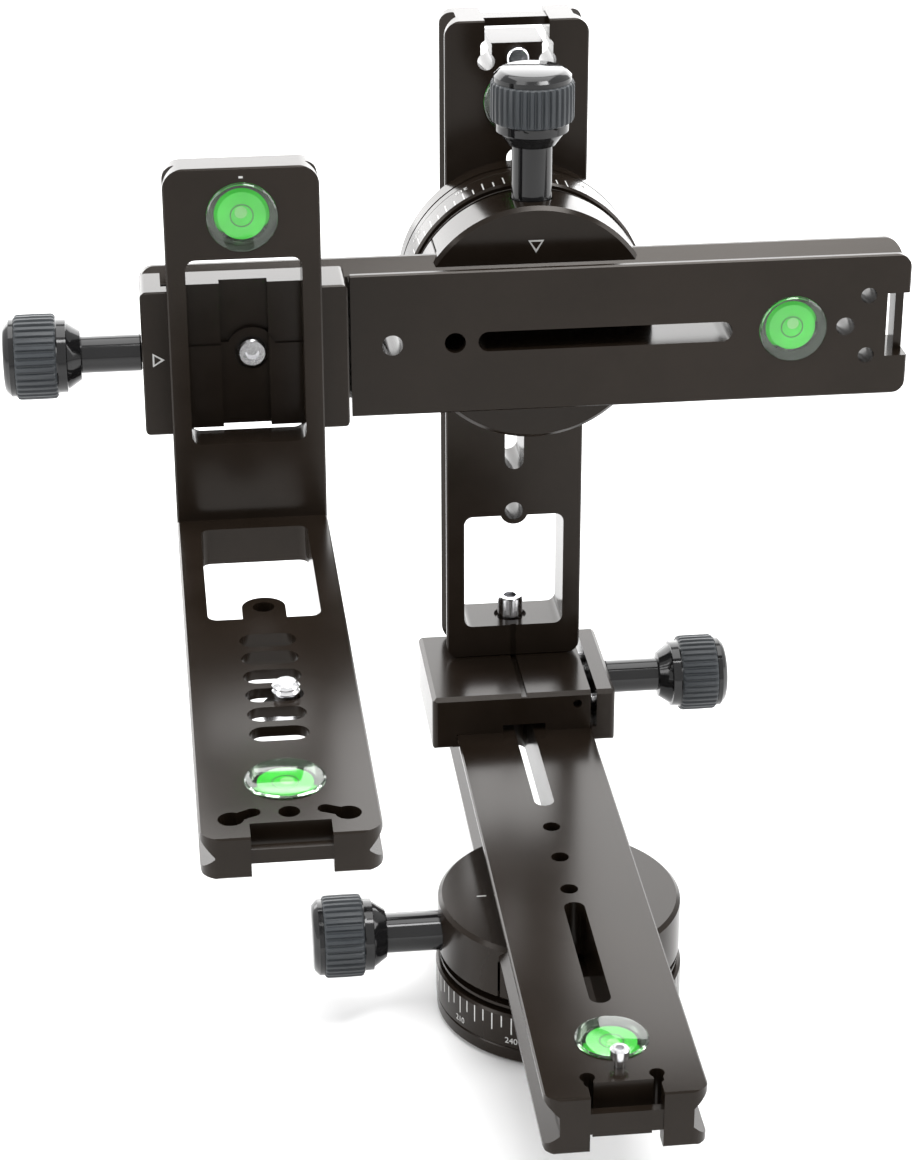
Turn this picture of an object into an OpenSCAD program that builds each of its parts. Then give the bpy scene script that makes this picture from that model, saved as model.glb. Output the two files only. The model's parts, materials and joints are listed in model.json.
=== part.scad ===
// Panoramic tripod head: a pan rotator, a sliding lower rail, a post, a tilt
// rotator, a sliding upper rail and an L-bracket camera platform.
// +X is to the right, +Y points away from the lens side, +Z is up.
// The origin is the centre of the base's bottom face, on the pan axis.

/* [Dovetail] */
// Width of every dovetail rail across its flats
rail_w = 38; // [36:0.5:40]
// Thickness of a rail that has a dovetail on both faces
rail_t = 15; // [14.5:0.1:16]
// Height of the flat at each edge of a rail
rail_flat = 1.5; // [1:0.1:1.8]
// How far the 45 degree flank runs in
rail_flank = 3.5; // [3.2:0.1:3.8]
// How deep a rail sits in a clamp
engage = 4; // [3.5:0.1:4.5]
// Sliding clearance between a rail and a clamp
slide_gap = 0.05; // [0.04:0.01:0.1]

/* [Rails] */
// Front end of the lower rail, seen from the pan axis
lower_front = 107.5; // [100:0.5:115]
// Length of the lower rail
lower_len = 213.5; // [205:0.5:220]
// Right end of the upper rail, seen from the tilt axis
upper_right = 95.5; // [92:0.5:100]
// Where the full section of the upper rail stops and its tongue starts
upper_left = 48.5; // [47:0.5:49]
// Top of the post above the base
post_top = 240.4; // [238:0.2:245]
// Width of the long slots in the rails
slot_w = 5.3; // [5.2:0.1:6]

/* [Rotators] */
// Radius of the clamping disc
disc_r = 31.6; // [31:0.1:32]
// Thickness of the clamping disc
disc_t = 15.4; // [15:0.1:16]
// Radius of the graduated housing
housing_r = 32.2; // [32:0.1:33]
// Height of a rotator from its mounting face to its clamping face
rotator_h = 33.4; // [33:0.1:34]
// Height of the tilt axis above the base
tilt_z = 170.8; // [168:0.2:174]
// Distance of the tilt clamping face behind the pan axis
tilt_face_y = 54; // [53:0.2:56]
// Radius of the tripod socket's 3/8 inch thread at its minor diameter
tripod_r = 4; // [3.9:0.05:4.1]

/* [Square clamps] */
// Width of a square clamp, jaw to jaw
clamp_w = 51.5; // [50:0.5:53]
// Thickness of a square clamp
clamp_t = 15.5; // [15:0.1:16]
// Length of the post clamp along the rail
post_clamp_len = 40.2; // [39:0.1:42]
// Front of the post clamp behind the pan axis
post_clamp_y = 68.3; // [66:0.1:72]
// How far the post's back stands in from the back of its clamp
post_inset = 0.5; // [0:0.1:1]
// Centre of the end clamp to the left of the tilt axis
end_clamp_x = 75.3; // [75:0.1:76]
// How far the end clamp stands in front of the upper rail
end_clamp_lead = 6.4; // [6:0.1:7]

/* [Knobs] */
// Radius of the knurled grip
grip_r = 10.8; // [10:0.1:11.5]
// Number of ridges round the grip
ridges = 36; // [24:1:48]
// Radius of a round clamp's knob shaft
round_shaft_r = 5.2; // [5:0.1:5.5]
// Radius of a square clamp's knob shaft
square_shaft_r = 4.7; // [4.5:0.1:5]
// Pitch of the clamping screw
screw_pitch = 1.25; // [1:0.25:1.5]

/* [L-bracket] */
// Thickness of the bracket
bracket_t = 9.5; // [9:0.1:10]
// Height of the camera platform
platform_z = 130.3; // [128:0.1:133]
// Top of the bracket's upright
upright_top = 222.6; // [221:0.2:226]
// Front end of the camera platform, seen from the pan axis
platform_front = 129.5; // [127:0.5:132]
// Distance between the camera screw's slots
camera_pitch = 9.2; // [8.8:0.05:9.4]
// Number of camera screw slots
camera_slots = 6; // [5:1:6]

/* [Hidden] */

anodised = "#1c1a18";
grip_grey = "#3c4044";
steel = "#b8babd";
brass = "#b58b3c";
level_green = "#58d84c";
nylon = "#e8e4da";

// Shared tolerances and small sizes
eps = 0.5;
edge = 0.4;
end_r = 4;
bracket_r = 5;
fine = 64;

// Dovetail
half_w = rail_w / 2;
groove_x = half_w - rail_flank;
far_face = rail_t - engage;

// Clamp layout, measured from the clamping face
floor_z = -engage - slide_gap;
wall_x = half_w + slide_gap;
lip_x = half_w - (engage - rail_flat) + slide_gap * sqrt(2);
lip_z = -engage + rail_flat + slide_gap * (sqrt(2) - 1);
screw_z = -9.4;
screw_r = 2.5;
bore_gap = 0.05;
free_gap = 0.3;
relief_w = 12;
relief_t = 2.2;
body_x = 18.7;
seat_inset = 1.2;

// Jaw guide pins and return springs
pin_r = 1.5;
pin_y = 13;
pin_end_x = 7;
spring_r = 2.5;
spring_end_x = 11;

// Knob, measured out from the seat on the jaw
shaft_end = 14.9;
neck_end = 21.2;
grip_end = 31.6;
cap_end = 34.4;
hub_r = 8.2;
round_reach = 10;
post_reach = 14;
end_reach = -6;
bolt_x = 1.8;
step_y = 2.9;

// Rotator, measured up from its mounting face
plate_h = 4.3;
housing_z = 4.5;
housing_top = 14.3;
shoulder_z = 10.3;
cavity_r = 25;
neck_r = 20;
socket_hub_r = 9;
socket_hub_h = 12.5;
socket_depth = 11;
disc_z = rotator_h - disc_t;
retainer_z = 7.2;
retainer_t = 2.8;
retainer_pcd_r = 15.5;
plate_pcd_r = 28;
small_screw_r = 1.5;
bolt_r = 2.42;

// Rail ends
notch_w = 17;
notch_l = 5.9;
notch_t = 4.7;
bridge_t = 2.2;
bridge_in = 0.4;

// Levels
level_r = 8.7;
level_deep = 6;
level_proud = 0.8;
level_cavity_r = 6.9;

// Places
rail_z = rotator_h - engage;
rail_top = rail_z + rail_t;
clamp_face_z = rail_top - engage;
clamp_top_z = clamp_face_z + clamp_t;
post_y = post_clamp_y + post_clamp_len - post_inset - rail_t;
post_len = post_top - clamp_top_z;
post_window_bottom = 65.6 - clamp_top_z;
post_window_top = 99.7 - clamp_top_z;
post_window_w = 28;
tilt_base_y = tilt_face_y + rotator_h;
mount_plate_t = post_y - tilt_base_y;
upper_front_y = tilt_face_y - far_face;
end_face_y = upper_front_y - end_clamp_lead;
end_back_y = end_face_y + clamp_t;
upright_back_y = end_face_y + engage;
upright_front_y = upright_back_y - bracket_t;
bracket_bottom = platform_z - bracket_t;
upright_len = upright_top - bracket_bottom;
platform_len = platform_front + upright_back_y;
camera_first_y = -38.9;
camera_slot_w = 6.6;
camera_slot_l = 13.2;
camera_at = 3;
camera_x = 2.6;
camera_tip = 3.3;
camera_thread = 3.1;
web_t = 2.5;
pocket_w = 17.2;
camera_y = camera_first_y - camera_at * camera_pitch;

// ---------- small shapes ----------

// Rounded bar in the XY plane, along +Y from the origin
module bar2d(w, l, r) {
    translate([-w / 2 + r, 0]) square([w - 2 * r, l]);
    translate([-w / 2, r]) square([w, l - 2 * r]);
    for (x = [-1, 1], y = [r, l - r])
        translate([x * (w / 2 - r), y]) circle(r, $fn = fine);
}

// Straight slot with round ends between two heights along Y
module slot2d(w, y0, y1) {
    translate([-w / 2, y0 + w / 2]) square([w, y1 - y0 - w]);
    for (y = [y0 + w / 2, y1 - w / 2])
        translate([0, y]) circle(w / 2, $fn = fine);
}

module drill(r, h) {
    cylinder(r = r, h = h, $fn = fine);
}

// Bar along X with its start at the origin
module rod_x(r, l) {
    rotate([0, 90, 0]) drill(r, l);
}

// Cap screw standing on its head's seat, thread pointing down
module cap_screw(r, len, head_r, head_h, key_r) {
    difference() {
        union() {
            translate([0, 0, -len]) drill(r, len);
            cylinder(r = head_r, h = head_h - edge, $fn = fine);
            translate([0, 0, head_h - edge])
                rotate_extrude($fn = fine)
                    polygon([[0, 0], [head_r, 0], [head_r - edge, edge], [0, edge]]);
        }
        translate([0, 0, head_h * 0.45]) cylinder(r = key_r, h = head_h, $fn = 6);
    }
}

// ---------- placing ----------

module at_pan_base() {
    children();
}

module at_pan_face() {
    translate([0, 0, rotator_h]) children();
}

module at_tilt_base() {
    translate([0, tilt_base_y, tilt_z]) rotate([90, 0, 0]) rotate([0, 0, -90]) children();
}

module at_tilt_face() {
    translate([0, tilt_face_y, tilt_z]) rotate([90, 0, 0]) rotate([0, 0, -90]) children();
}

module at_post_clamp() {
    translate([0, post_clamp_y + post_clamp_len / 2, clamp_face_z]) rotate([0, 180, 0]) children();
}

module at_end_clamp() {
    translate([-end_clamp_x, end_face_y, tilt_z]) rotate([90, 0, 0]) children();
}

module at_lower_rail() {
    translate([0, lower_len - lower_front, rail_z]) rotate([0, 0, 180]) children();
}

module at_post() {
    translate([0, post_y + rail_t, clamp_top_z]) rotate([90, 0, 0]) children();
}

module at_upper_rail() {
    translate([-upper_left, upper_front_y + rail_t, tilt_z]) rotate([90, 0, 0]) rotate([0, 0, -90])
        children();
}

module at_upright() {
    translate([-end_clamp_x, upright_back_y, bracket_bottom]) rotate([90, 0, 0]) children();
}

module at_platform() {
    translate([-end_clamp_x, upright_back_y, bracket_bottom]) rotate([0, 0, 180]) children();
}

// ---------- rails ----------

// One half of a rail's section, right of its centre line
function half_section(t) = let (run = min(rail_flank, t / 2 - rail_flat - 0.2))
    [[half_w - edge, 0], [half_w, edge], [half_w, rail_flat], [half_w - run, rail_flat + run],
     [half_w - run, t - rail_flat - run], [half_w, t - rail_flat], [half_w, t - edge], [half_w - edge, t]];

function mirrored(points) = [for (i = [len(points) - 1 : -1 : 0]) [-points[i][0], points[i][1]]];

// Double dovetail bar along +Y, with rounded and chamfered ends
module dovetail_bar(l, t, r = end_r) {
    right = half_section(t);
    intersection() {
        rotate([90, 0, 0]) translate([0, 0, -l]) linear_extrude(l) polygon(concat(right, mirrored(right)));
        linear_extrude(t) bar2d(rail_w, l, r);
        rotate([90, 0, 90]) translate([0, 0, -rail_w / 2]) linear_extrude(rail_w)
            polygon([[edge, 0], [l - edge, 0], [l, edge], [l, t - edge], [l - edge, t], [edge, t],
                     [0, t - edge], [0, edge]]);
    }
}

// Cuts that leave two feet and a thin bridge at the +Y end
module end_notch(l, t, deep) {
    translate([-notch_w / 2, l - notch_l, t - deep]) cube([notch_w, notch_l + eps, deep + eps]);
    translate([-notch_w / 2, l - notch_l, -eps]) cube([notch_w, notch_l + eps, deep + eps]);
    translate([-notch_w / 2, l - notch_l, -eps])
        cube([notch_w, notch_l - bridge_t - bridge_in, t + 2 * eps]);
    translate([-notch_w / 2, l - bridge_in, -eps]) cube([notch_w, bridge_in + eps, t + 2 * eps]);
}

// Keyhole pair beside the notch: a round hole of radius r runs into a slot of width w.
// Each place is [distance from the centre line, distance from the end].
module keyholes(l, t, hole, slot, r, w) {
    run = [slot[0] - hole[0], hole[1] - slot[1]];
    for (side = [-1, 1])
        translate([side * hole[0], l - hole[1], -eps]) linear_extrude(t + 2 * eps) {
            circle(r, $fn = fine);
            rotate(atan2(run[1], side * run[0])) translate([0, bore_gap - w / 2])
                square([norm(run), w - 2 * bore_gap]);
            translate([side * run[0], run[1]]) circle(w / 2, $fn = fine);
        }
}

module level_pocket(t) {
    translate([0, 0, t - level_deep]) drill(level_r + bore_gap, level_deep + eps);
}

// Level vial: a clear cup, mouth down, with a domed rim
module level_vial(deep) {
    difference() {
        union() {
            translate([0, 0, -deep]) drill(level_r, deep + level_proud - edge);
            translate([0, 0, level_proud - edge]) rotate_extrude($fn = fine)
                polygon([[0, 0], [level_r, 0], [level_r - edge, edge], [0, edge]]);
        }
        translate([0, 0, -deep - eps]) drill(level_cavity_r, deep - 0.9 + eps);
    }
}

module lower_rail() {
    color(anodised) at_lower_rail() difference() {
        dovetail_bar(lower_len, rail_t);
        end_notch(lower_len, rail_t, notch_t);
        translate([0, 0, -eps]) linear_extrude(rail_t + 2 * eps) {
            slot2d(slot_w, 18, lower_len - lower_front - 26);
            slot2d(slot_w, lower_len - lower_front + 23.4, lower_len - lower_front + 69.4);
        }
        for (d = [90.5, 106.5, 122.2])
            translate([0, lower_len - d, -eps]) drill(2.3, rail_t + 2 * eps);
        translate([0, lower_len - 23.2, 0]) level_pocket(rail_t);
        translate([0, lower_len - 12, -eps]) drill(1.25 + bore_gap, rail_t + 2 * eps);
        keyholes(lower_len, rail_t, [8.1, 8.2], [8.1, 5.6], 1.8, 2.4);
    }
}

module lower_level() {
    color(level_green) at_lower_rail() translate([0, lower_len - 23.2, rail_t]) level_vial(level_deep);
}

// Slim pin screw that stops the rail from sliding out of its clamp
module lower_stop_screw() {
    proud = 2.5;
    color(steel) at_lower_rail() translate([0, lower_len - 12, rail_t + proud])
        cap_screw(1.25, rail_t + proud + 3, 2.25, 2.5, 1.1);
}

module post() {
    window_mid = (post_window_bottom + post_window_top) / 2;
    color(anodised) at_post() difference() {
        dovetail_bar(post_len, rail_t);
        end_notch(post_len, rail_t, notch_t);
        keyholes(post_len, rail_t, [8.1, 10.8], [8.1, 6.8], 2.3, 3);
        translate([0, 0, -eps]) linear_extrude(rail_t + 2 * eps) {
            difference() {
                translate([0, post_window_bottom])
                    bar2d(post_window_w, post_window_top - post_window_bottom, 2.5);
                translate([0, post_window_top + 1.4]) circle(4, $fn = fine);
            }
            translate([0, post_window_top + 1.4]) circle(2.6, $fn = fine);
            slot2d(slot_w, 113.8 - clamp_top_z, 206 - clamp_top_z);
        }
        translate([0, window_mid, rail_t / 2]) rotate([90, 0, 0]) drill(screw_r + bore_gap, window_mid + eps);
        translate([0, post_window_bottom + eps, rail_t / 2]) rotate([90, 0, 0]) drill(4.6, 1 + eps);
        translate([-0.8, -eps, rail_t - 0.6]) cube([1.6, post_window_bottom + eps, 1]);
        translate([0, post_len - 21.8, 0]) level_pocket(rail_t);
        translate([0, post_len - 9.6, -eps]) drill(2.05, rail_t + 2 * eps);
    }
}

module post_level() {
    color(level_green) at_post() translate([0, post_len - 21.8, rail_t]) level_vial(level_deep);
}

module post_stop_screw() {
    color(steel) at_post() translate([0, post_len - 9.6, rail_t]) cap_screw(2, rail_t, 2.9, 2.6, 1.6);
}

// Holds the post down on its clamp through the bar under the window
module post_screw() {
    color(steel) at_post() translate([0, post_window_bottom - 1, rail_t / 2]) rotate([-90, 0, 0])
        cap_screw(screw_r, post_window_bottom + 7, 3.6, 7, 2.1);
}

// The rail's rear half runs on to the left as a tongue behind the end clamp
module upper_rail() {
    tongue_l = end_clamp_x + clamp_w / 2 - upper_left;
    full_l = upper_right + upper_left;
    tongue_t = upper_front_y + rail_t - end_back_y;
    color(anodised) at_upper_rail() difference() {
        translate([0, -tongue_l, 0]) dovetail_bar(full_l + tongue_l, rail_t);
        translate([-half_w - eps, -tongue_l - eps, tongue_t - bore_gap])
            cube([rail_w + 2 * eps, tongue_l + eps, rail_t]);
        end_notch(full_l, rail_t, notch_t);
        translate([0, 0, -eps]) linear_extrude(rail_t + 2 * eps)
            slot2d(slot_w, upper_left - 16.1, upper_left + 49.4);
        for (x = [-38, -22])
            translate([0, upper_left + x, -eps]) drill(2.7, rail_t + 2 * eps);
        for (side = [-1, 1])
            translate([side * 8.1, full_l - 10.8, -eps]) drill(2.1, rail_t + 2 * eps);
        translate([0, full_l - 16.6, -eps]) drill(2.4, rail_t + 2 * eps);
        translate([0, full_l - 30.3, 0]) level_pocket(rail_t);
        translate([0, upper_left - end_clamp_x + bolt_x, -eps]) drill(bolt_r, rail_t);
    }
}

module upper_level() {
    color(level_green) at_upper_rail() translate([0, upper_right + upper_left - 30.3, rail_t])
        level_vial(level_deep);
}

// ---------- clamps ----------

// Fixed side of a clamp in section: body, floor and the right jaw
module fixed_section(outer_x, t) {
    polygon([[-body_x, floor_z], [wall_x, floor_z], [wall_x, lip_z], [lip_x, 0], [outer_x, 0],
             [outer_x, -t], [-body_x, -t]]);
}

// Moving jaw in section: it reaches over the rail's left flank
module jaw_section(outer_x, inner_x, t) {
    polygon([[-outer_x, 0], [-lip_x, 0], [-wall_x, lip_z], [-wall_x, floor_z - 0.25],
             [-inner_x, floor_z - 0.25], [-inner_x, -t], [-outer_x, -t]]);
}

module along_y(l) {
    rotate([90, 0, 0]) translate([0, 0, -l / 2]) linear_extrude(l) children();
}

// Square clamp's outer block with chamfers on its outer face and upright edges
module square_block(l) {
    w = clamp_w / 2;
    h = l / 2;
    c = 1.1;
    intersection() {
        along_y(l) polygon([[-w, -edge], [-w + edge, 0], [w - edge, 0], [w, -edge], [w, -clamp_t + c],
                            [w - c, -clamp_t], [-w + c, -clamp_t], [-w, -clamp_t + c]]);
        rotate([90, 0, 90]) translate([0, 0, -w]) linear_extrude(clamp_w)
            polygon([[-h, -edge], [-h + edge, 0], [h - edge, 0], [h, -edge], [h, -clamp_t + c],
                     [h - c, -clamp_t], [-h + c, -clamp_t], [-h, -clamp_t + c]]);
        translate([0, -h, -clamp_t]) linear_extrude(clamp_t) bar2d(clamp_w, l, 1.6);
    }
}

// Round clamp's disc with chamfered rims
module round_block() {
    rotate_extrude($fn = 128)
        polygon([[0, -disc_t], [disc_r - 0.8, -disc_t], [disc_r, -disc_t + 0.8], [disc_r, -1],
                 [disc_r - 1, 0], [0, 0]]);
}

// Holes that the screw, the guide pins and the springs run in
module clamp_bores(reach) {
    translate([-disc_r, 0, screw_z]) rod_x(screw_r + bore_gap, disc_r + reach);
    for (y = [-pin_y, pin_y]) {
        translate([-disc_r, y, screw_z]) rod_x(pin_r + bore_gap, disc_r - pin_end_x + 1);
        translate([-disc_r, y, screw_z]) rod_x(spring_r + free_gap, disc_r - spring_end_x + 0.5);
    }
}

module floor_relief(l) {
    translate([-relief_w / 2, -l / 2 - eps, floor_z - relief_t])
        cube([relief_w, l + 2 * eps, relief_t + eps]);
}

module square_body(l, reach) {
    difference() {
        intersection() {
            square_block(l);
            along_y(l + 1) fixed_section(clamp_w / 2, clamp_t);
        }
        clamp_bores(reach + 3);
    }
}

module jaw_bores(outer_x) {
    translate([-outer_x - eps, 0, screw_z]) rod_x(screw_r + bore_gap, 20);
    for (y = [-pin_y, pin_y])
        translate([-outer_x + 1.5, y, screw_z]) rod_x(pin_r + 0.02, 20);
}

module square_jaw(l) {
    difference() {
        intersection() {
            square_block(l);
            along_y(l + 1) jaw_section(clamp_w / 2, clamp_w / 2 - 5.3, clamp_t);
        }
        jaw_bores(clamp_w / 2);
    }
}

module round_jaw() {
    seat_x = disc_r - seat_inset;
    difference() {
        intersection() {
            round_block();
            along_y(2 * disc_r) jaw_section(disc_r, body_x + 0.6, disc_t);
        }
        translate([-disc_r - eps, 0, screw_z]) rod_x(round_shaft_r + free_gap, seat_inset + eps);
        translate([-disc_r - eps, 0, screw_z]) rod_x(screw_r + bore_gap, 20);
        for (y = [-pin_y, pin_y])
            translate([-seat_x + 4, y, screw_z]) rod_x(pin_r + 0.02, 20);
    }
}

module round_body() {
    neck_h = disc_z - retainer_z - retainer_t;
    difference() {
        union() {
            intersection() {
                round_block();
                along_y(2 * disc_r) fixed_section(disc_r, disc_t);
            }
            translate([0, 0, -disc_t - neck_h]) drill(neck_r - bore_gap, neck_h + eps);
        }
        translate([-neck_r - 1, -neck_r, -disc_t - free_gap])
            cube([neck_r + 1 - body_x, 2 * neck_r, eps + free_gap]);
        floor_relief(2 * disc_r);
        clamp_bores(round_reach + 3);
        translate([0, 0, -disc_t - neck_h - eps]) drill(socket_hub_r + 1.2, 4 + eps);
        for (a = [45 : 90 : 315])
            rotate(a) translate([retainer_pcd_r, 0, -disc_t - neck_h - eps])
                drill(small_screw_r + 0.02, 6.5);
    }
}

module jaw_pins(outer_x) {
    start = outer_x - 1.5;
    for (y = [-pin_y, pin_y])
        translate([-start, y, screw_z]) rod_x(pin_r, start - pin_end_x);
}

// Return springs, drawn as sleeves of their own outer and inner size
module jaw_springs(inner_x) {
    for (y = [-pin_y, pin_y])
        translate([-inner_x + 0.02, y, screw_z]) difference() {
            rod_x(spring_r, inner_x - spring_end_x);
            translate([-1, 0, 0]) rod_x(pin_r + 0.15, inner_x);
        }
}

// Turned stud: thread, shaft, stepped neck, hub and end cap
module knob_stud(seat_x, shaft_r, reach) {
    translate([-seat_x, 0, screw_z]) rotate([0, -90, 0]) {
        translate([0, 0, -seat_x - reach]) drill(screw_r, seat_x + reach + 1);
        translate([0, 0, bore_gap]) rotate_extrude($fn = fine)
            polygon([[0, 0], [shaft_r - edge, 0], [shaft_r, edge], [shaft_r, shaft_end],
                     [6.3, shaft_end + 0.3], [8.3, shaft_end + 3.2], [8.5, neck_end - 2.7],
                     [9.3, neck_end - 2.5], [9.4, neck_end - 0.3], [9.6, neck_end],
                     [hub_r, neck_end], [hub_r, grip_end],
                     [9.9, grip_end], [9.9, grip_end + 1.2], [8.6, cap_end - 0.3], [7.8, cap_end],
                     [0, cap_end]]);
    }
}

// Ridged sleeve that is pressed over the hub between the neck and the cap
module knob_grip(seat_x) {
    step = 360 / ridges;
    translate([-seat_x, 0, screw_z]) rotate([0, -90, 0])
        translate([0, 0, neck_end + bore_gap + 0.02]) linear_extrude(grip_end - neck_end - 0.04)
            difference() {
                polygon([for (i = [0 : ridges - 1], k = [[0, 1], [0.5, 1], [0.62, 0.955], [0.88, 0.955]])
                    let (a = step * (i + k[0])) grip_r * k[1] * [cos(a), sin(a)]]);
                circle(hub_r + 0.02, $fn = fine);
            }
}

// ---------- rotators ----------

module rotator_plate(hole_r, hole_depth) {
    difference() {
        union() {
            rotate_extrude($fn = 128)
                polygon([[0, 0], [housing_r - 1.2, 0], [housing_r - 0.2, 1], [housing_r - 0.2, plate_h - 0.3],
                         [housing_r - 0.5, plate_h], [0, plate_h]]);
            drill(socket_hub_r, socket_hub_h);
        }
        translate([0, 0, -eps]) drill(hole_r, hole_depth + eps);
        for (a = [45 : 90 : 315])
            rotate(a) translate([plate_pcd_r, 0, -eps]) {
                drill(small_screw_r + 0.1, plate_h + 1);
                drill(2.6, 1.9 + eps);
            }
    }
}

module rotator_housing() {
    difference() {
        rotate_extrude($fn = 128)
            polygon([[cavity_r, housing_z], [housing_r - 0.4, housing_z], [housing_r, housing_z + 0.4],
                     [housing_r, housing_top - 0.6], [housing_r - 0.6, housing_top], [neck_r, housing_top],
                     [neck_r, shoulder_z], [cavity_r, shoulder_z]]);
        for (a = [45 : 90 : 315])
            rotate(a) translate([plate_pcd_r, 0, housing_z - eps]) drill(small_screw_r + 0.02, 6.5);
    }
}

// Screws that hold the plate under the housing, heads down
module plate_screws() {
    for (a = [45 : 90 : 315])
        rotate(a) translate([plate_pcd_r, 0, 1.85]) rotate([180, 0, 0])
            cap_screw(small_screw_r, 8, 2.5, 1.7, 1.2);
}

module spacer_ring() {
    low = housing_top + 0.1;
    high = disc_z - 0.02;
    rotate_extrude($fn = 128)
        polygon([[neck_r + 0.2, low], [28.5, low], [28.5, 15.7], [31.2, 15.7], [31.2, 16.5],
                 [28.5, 16.5], [28.5, high], [neck_r + 0.2, high]]);
}

module thrust_washer() {
    rotate_extrude($fn = 96)
        polygon([[neck_r + 0.2, 10.03], [cavity_r - 0.7, 10.03], [cavity_r - 0.7, 10.27],
                 [neck_r + 0.2, 10.27]]);
}

module retainer() {
    difference() {
        rotate_extrude($fn = 96)
            polygon([[socket_hub_r + 1.2, retainer_z], [cavity_r - 0.5, retainer_z],
                     [cavity_r - 0.5, retainer_z + retainer_t - 0.01],
                     [socket_hub_r + 1.2, retainer_z + retainer_t - 0.01]]);
        for (a = [45 : 90 : 315])
            rotate(a) translate([retainer_pcd_r, 0, retainer_z - eps]) drill(small_screw_r + 0.1, 4);
    }
}

module retainer_screws() {
    for (a = [45 : 90 : 315])
        rotate(a) translate([retainer_pcd_r, 0, retainer_z - 0.02]) rotate([180, 0, 0])
            cap_screw(small_screw_r, 7.5, 2.6, 1.6, 1.2);
}

// ---------- nodes ----------

module base_plate() {
    color(anodised) rotator_plate(tripod_r, socket_depth);
}

module base_housing() {
    color(anodised) rotator_housing();
}

module base_screws() {
    color(steel) plate_screws();
}

module pan_clamp_body() {
    color(anodised) at_pan_face() round_body();
}

module pan_spacer_ring() {
    color(anodised) spacer_ring();
}

module pan_thrust_washer() {
    color(nylon) thrust_washer();
}

module pan_retainer() {
    color(brass) retainer();
}

module pan_retainer_screws() {
    color(steel) retainer_screws();
}

module pan_jaw() {
    color(anodised) at_pan_face() round_jaw();
}

module pan_jaw_pins() {
    color(steel) at_pan_face() jaw_pins(disc_r - seat_inset - 2.5);
}

module pan_jaw_springs() {
    color(steel) at_pan_face() jaw_springs(body_x + 0.6);
}

module pan_knob_stud() {
    color(anodised) at_pan_face() knob_stud(disc_r - seat_inset, round_shaft_r, round_reach);
}

module pan_knob_grip() {
    color(grip_grey) at_pan_face() knob_grip(disc_r - seat_inset);
}

module post_clamp_body() {
    color(anodised) at_post_clamp() difference() {
        square_body(post_clamp_len, post_reach);
        floor_relief(post_clamp_len);
        translate([-0.8, -post_clamp_len, -clamp_t - 1]) cube([1.6, 2 * post_clamp_len, 1.8]);
        translate([0, post_clamp_len / 2 - post_inset - rail_t / 2, -clamp_t - eps])
            drill(screw_r + 0.02, 9 + eps);
        for (y = [-1, 1])
            translate([-15, y * (post_clamp_len / 2 - 3.5), -11.8]) rotate([y * -90, 0, 0]) drill(1.25, 4);
    }
}

module post_jaw() {
    color(anodised) at_post_clamp() square_jaw(post_clamp_len);
}

module post_jaw_pins() {
    color(steel) at_post_clamp() jaw_pins(clamp_w / 2);
}

module post_jaw_springs() {
    color(steel) at_post_clamp() jaw_springs(clamp_w / 2 - 5.3);
}

module post_knob_stud() {
    color(anodised) at_post_clamp() knob_stud(clamp_w / 2, square_shaft_r, post_reach);
}

module post_knob_grip() {
    color(grip_grey) at_post_clamp() knob_grip(clamp_w / 2);
}

module tilt_base_plate() {
    color(anodised) at_tilt_base() rotator_plate(screw_r + 0.02, socket_depth);
}

module tilt_housing() {
    color(anodised) at_tilt_base() rotator_housing();
}

module tilt_screws() {
    color(steel) at_tilt_base() plate_screws();
}

// Flange between the rotator and the post, with a key that runs in the post's slot
module tilt_mount_plate() {
    color(anodised) at_tilt_base() difference() {
        union() {
            translate([0, 0, -mount_plate_t + 0.05]) drill(housing_r - 0.2, mount_plate_t - 0.07);
            translate([-12, -slot_w / 2 + 0.1, -mount_plate_t - 3]) cube([24, slot_w - 0.2, 4]);
        }
        translate([0, 0, -mount_plate_t - 4]) drill(screw_r + 0.02, mount_plate_t + 5);
    }
}

module tilt_bolt() {
    color(steel) at_tilt_base() translate([0, 0, -mount_plate_t - rail_t - 1.3]) rotate([180, 0, 0])
        cap_screw(screw_r, mount_plate_t + rail_t + 10, 4.2, 5, 2.2);
}

module tilt_washer() {
    color(steel) at_tilt_base() translate([0, 0, -mount_plate_t - rail_t - 1.27]) difference() {
        drill(6.5, 1.2);
        translate([0, 0, -1]) drill(screw_r + bore_gap, 4);
    }
}

module tilt_clamp_body() {
    color(anodised) at_tilt_face() round_body();
}

module tilt_spacer_ring() {
    color(anodised) at_tilt_base() spacer_ring();
}

module tilt_thrust_washer() {
    color(nylon) at_tilt_base() thrust_washer();
}

module tilt_retainer() {
    color(brass) at_tilt_base() retainer();
}

module tilt_retainer_screws() {
    color(steel) at_tilt_base() retainer_screws();
}

module tilt_jaw() {
    color(anodised) at_tilt_face() round_jaw();
}

module tilt_jaw_pins() {
    color(steel) at_tilt_face() jaw_pins(disc_r - seat_inset - 2.5);
}

module tilt_jaw_springs() {
    color(steel) at_tilt_face() jaw_springs(body_x + 0.6);
}

module tilt_knob_stud() {
    color(anodised) at_tilt_face() knob_stud(disc_r - seat_inset, round_shaft_r, round_reach);
}

module tilt_knob_grip() {
    color(grip_grey) at_tilt_face() knob_grip(disc_r - seat_inset);
}

// Deeper floor above the step, with a round hump left round the bolt
module upper_floor(half, deep) {
    translate([0, 0, floor_z - deep]) linear_extrude(deep + eps) difference() {
        translate([-half, step_y]) square([2 * half, rail_w]);
        translate([bolt_x, 0]) circle(6.6, $fn = fine);
    }
}

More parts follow.
